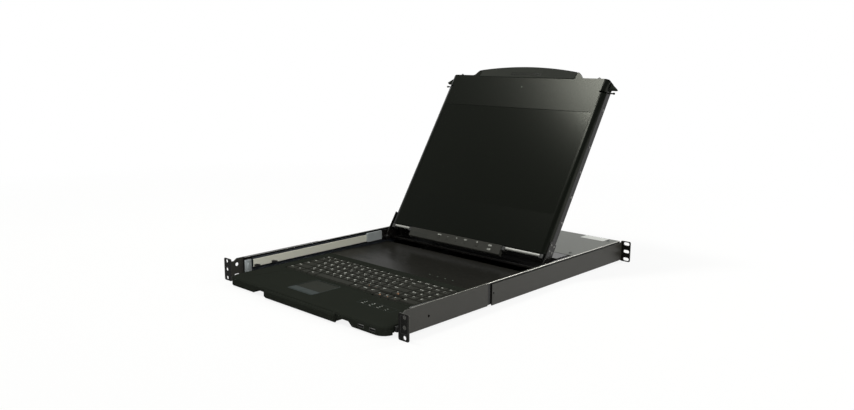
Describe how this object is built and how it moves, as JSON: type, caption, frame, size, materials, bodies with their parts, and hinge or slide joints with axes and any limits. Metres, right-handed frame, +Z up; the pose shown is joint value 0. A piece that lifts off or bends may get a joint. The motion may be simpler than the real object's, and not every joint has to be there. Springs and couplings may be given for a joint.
{
  "type": "rackmount lcd console drawer",
  "caption": "Flat rack drawer with a keyboard and touchpad that slides out and a hinged display on its own sliding carriage, in a steel chassis with front and adjustable rear rack ears.",
  "frame": {"origin": "Middle of the front ears' hole pattern, on the ears' front face.", "axes": "+X to the user's right, +Y from the user into the rack, +Z up."},
  "size_m": [0.4826, 0.6635, 0.3889],
  "materials": {
    "black_steel": "satin",
    "cover_steel": "satin",
    "zinc": "satin",
    "rail_steel": "satin",
    "bezel_plastic": "satin",
    "strip_plastic": "satin",
    "screen": "matte",
    "module_case": "satin",
    "deck_plastic": "satin",
    "key_plastic": "satin",
    "button_plastic": "satin",
    "bar_metal": "satin",
    "rubber": "matte",
    "board": "satin",
    "socket_metal": "satin",
    "socket_plastic": "gloss"
  },
  "bodies": {
    "chassis": {"chassis_tray": "black_steel", "rear_cover": "cover_steel", "cover_screws": "zinc", "rear_panel": "black_steel", "front_bracket_right": "black_steel", "front_bracket_left": "black_steel", "bracket_studs": "zinc", "slide_end_brackets": "zinc", "lcd_slide_outer": "rail_steel", "keyboard_slide_outer": "rail_steel", "power_inlet": "socket_plastic", "rocker_frame": "socket_plastic", "console_ports": "socket_metal", "power_supply": "rail_steel", "main_board": "board"},
    "rear_bracket_right": {"rear_bracket_right": "black_steel"},
    "rear_bracket_left": {"rear_bracket_left": "black_steel"},
    "lcd_middles": {"lcd_slide_middle": "rail_steel"},
    "lcd_carriage": {"lcd_slide_inner": "rail_steel", "slide_stops": "deck_plastic", "hinge_plates": "zinc", "carriage_bridge": "black_steel"},
    "keyboard_middles": {"keyboard_slide_middle": "rail_steel"},
    "keyboard": {"keyboard_slide_inner": "rail_steel", "keyboard_tray": "deck_plastic", "keyboard_board": "board", "keyboard_deck": "deck_plastic", "rear_deck": "deck_plastic", "key_plate": "rail_steel", "touchpad": "deck_plastic", "usb_ports": "socket_metal"},
    "display": {"display_bezel": "bezel_plastic", "display_shell": "black_steel", "lcd_panel": "screen", "lcd_module": "module_case", "display_handle": "bezel_plastic", "latch_hooks": "black_steel", "hinge_arms": "zinc", "display_screws": "zinc", "hinge_bars": "bar_metal", "bar_blocks": "bezel_plastic", "control_strip": "strip_plastic", "bumpers": "rubber"},
    "power_rocker": {"power_rocker": "socket_plastic"},
    "power_button": {"power_button": "strip_plastic"},
    "space_bar": {"space_bar": "key_plastic"},
    "touchpad_button_left": {"touchpad_button_left": "button_plastic"},
    "touchpad_button_right": {"touchpad_button_right": "button_plastic"},
    "release_lever_right": {"release_lever_right": "deck_plastic"},
    "release_lever_left": {"release_lever_left": "deck_plastic"},
    "osd_button_1": {"osd_button_1": "strip_plastic"},
    "osd_button_2": {"osd_button_2": "strip_plastic"},
    "osd_button_3": {"osd_button_3": "strip_plastic"},
    "osd_button_4": {"osd_button_4": "strip_plastic"},
    "key_row_1": {"key_row_1": "key_plastic"},
    "key_row_2": {"key_row_2": "key_plastic"},
    "key_row_3": {"key_row_3": "key_plastic"},
    "key_row_4": {"key_row_4": "key_plastic"},
    "key_row_5": {"key_row_5": "key_plastic"},
    "key_row_6": {"key_row_6": "key_plastic"}
  },
  "joints": [
    {"name": "lcd_slide", "type": "slide", "parent": "chassis", "child": "lcd_carriage", "axis": [0, -1, 0], "range_m": [0, 0.4]},
    {"name": "lcd_middle_slide", "type": "slide", "parent": "chassis", "child": "lcd_middles", "axis": [0, -1, 0], "range_m": [0, 0.2]},
    {"name": "keyboard_slide", "type": "slide", "parent": "chassis", "child": "keyboard", "axis": [0, -1, 0], "range_m": [0, 0.4]},
    {"name": "keyboard_middle_slide", "type": "slide", "parent": "chassis", "child": "keyboard_middles", "axis": [0, -1, 0], "range_m": [0, 0.2]},
    {"name": "display_hinge", "type": "hinge", "parent": "lcd_carriage", "child": "display", "pos_m": [0, 0.384, 0.00355], "axis": [1, 0, 0], "range_deg": [-8, 122.3]},
    {"name": "rear_bracket_right_slide", "type": "slide", "parent": "chassis", "child": "rear_bracket_right", "axis": [0, 1, 0], "range_m": [-0.008, 0.15]},
    {"name": "rear_bracket_left_slide", "type": "slide", "parent": "chassis", "child": "rear_bracket_left", "axis": [0, 1, 0], "range_m": [-0.008, 0.15]},
    {"name": "power_rocker_tilt", "type": "hinge", "parent": "chassis", "child": "power_rocker", "pos_m": [-0.138, 0.6362, -0.002], "axis": [1, 0, 0], "range_deg": [-14, 0]},
    {"name": "power_button_press", "type": "slide", "parent": "display", "child": "power_button", "axis": [0, 0.8453, -0.5344], "range_m": [0, 0.0008], "stiffness_N_per_m": 600},
    {"name": "touchpad_left_press", "type": "slide", "parent": "keyboard", "child": "touchpad_button_left", "axis": [0, 0, -1], "range_m": [0, 0.0008], "stiffness_N_per_m": 900},
    {"name": "touchpad_right_press", "type": "slide", "parent": "keyboard", "child": "touchpad_button_right", "axis": [0, 0, -1], "range_m": [0, 0.0008], "stiffness_N_per_m": 900},
    {"name": "release_lever_right_press", "type": "slide", "parent": "keyboard", "child": "release_lever_right", "axis": [-1, 0, 0], "range_m": [0, 0.003], "stiffness_N_per_m": 500},
    {"name": "release_lever_left_press", "type": "slide", "parent": "keyboard", "child": "release_lever_left", "axis": [1, 0, 0], "range_m": [0, 0.003], "stiffness_N_per_m": 500},
    {"name": "space_bar_press", "type": "slide", "parent": "keyboard", "child": "space_bar", "axis": [0, 0, -1], "range_m": [0, 0.0017], "stiffness_N_per_m": 900},
    {"name": "osd_1_press", "type": "slide", "parent": "display", "child": "osd_button_1", "axis": [0, 0.8453, -0.5344], "range_m": [0, 0.0008], "stiffness_N_per_m": 400},
    {"name": "osd_2_press", "type": "slide", "parent": "display", "child": "osd_button_2", "axis": [0, 0.8453, -0.5344], "range_m": [0, 0.0008], "stiffness_N_per_m": 400},
    {"name": "osd_3_press", "type": "slide", "parent": "display", "child": "osd_button_3", "axis": [0, 0.8453, -0.5344], "range_m": [0, 0.0008], "stiffness_N_per_m": 400},
    {"name": "osd_4_press", "type": "slide", "parent": "display", "child": "osd_button_4", "axis": [0, 0.8453, -0.5344], "range_m": [0, 0.0008], "stiffness_N_per_m": 400},
    {"name": "key_row_1_press", "type": "slide", "parent": "keyboard", "child": "key_row_1", "axis": [0, 0, -1], "range_m": [0, 0.0017], "stiffness_N_per_m": 3000},
    {"name": "key_row_2_press", "type": "slide", "parent": "keyboard", "child": "key_row_2", "axis": [0, 0, -1], "range_m": [0, 0.0017], "stiffness_N_per_m": 3000},
    {"name": "key_row_3_press", "type": "slide", "parent": "keyboard", "child": "key_row_3", "axis": [0, 0, -1], "range_m": [0, 0.0017], "stiffness_N_per_m": 3000},
    {"name": "key_row_4_press", "type": "slide", "parent": "keyboard", "child": "key_row_4", "axis": [0, 0, -1], "range_m": [0, 0.0017], "stiffness_N_per_m": 3000},
    {"name": "key_row_5_press", "type": "slide", "parent": "keyboard", "child": "key_row_5", "axis": [0, 0, -1], "range_m": [0, 0.0017], "stiffness_N_per_m": 3000},
    {"name": "key_row_6_press", "type": "slide", "parent": "keyboard", "child": "key_row_6", "axis": [0, 0, -1], "range_m": [0, 0.0017], "stiffness_N_per_m": 3000}
  ],
  "couplings": [
    {"joint": "lcd_middle_slide", "follows": "lcd_slide", "ratio": 0.5},
    {"joint": "keyboard_middle_slide", "follows": "keyboard_slide", "ratio": 0.5}
  ]
}
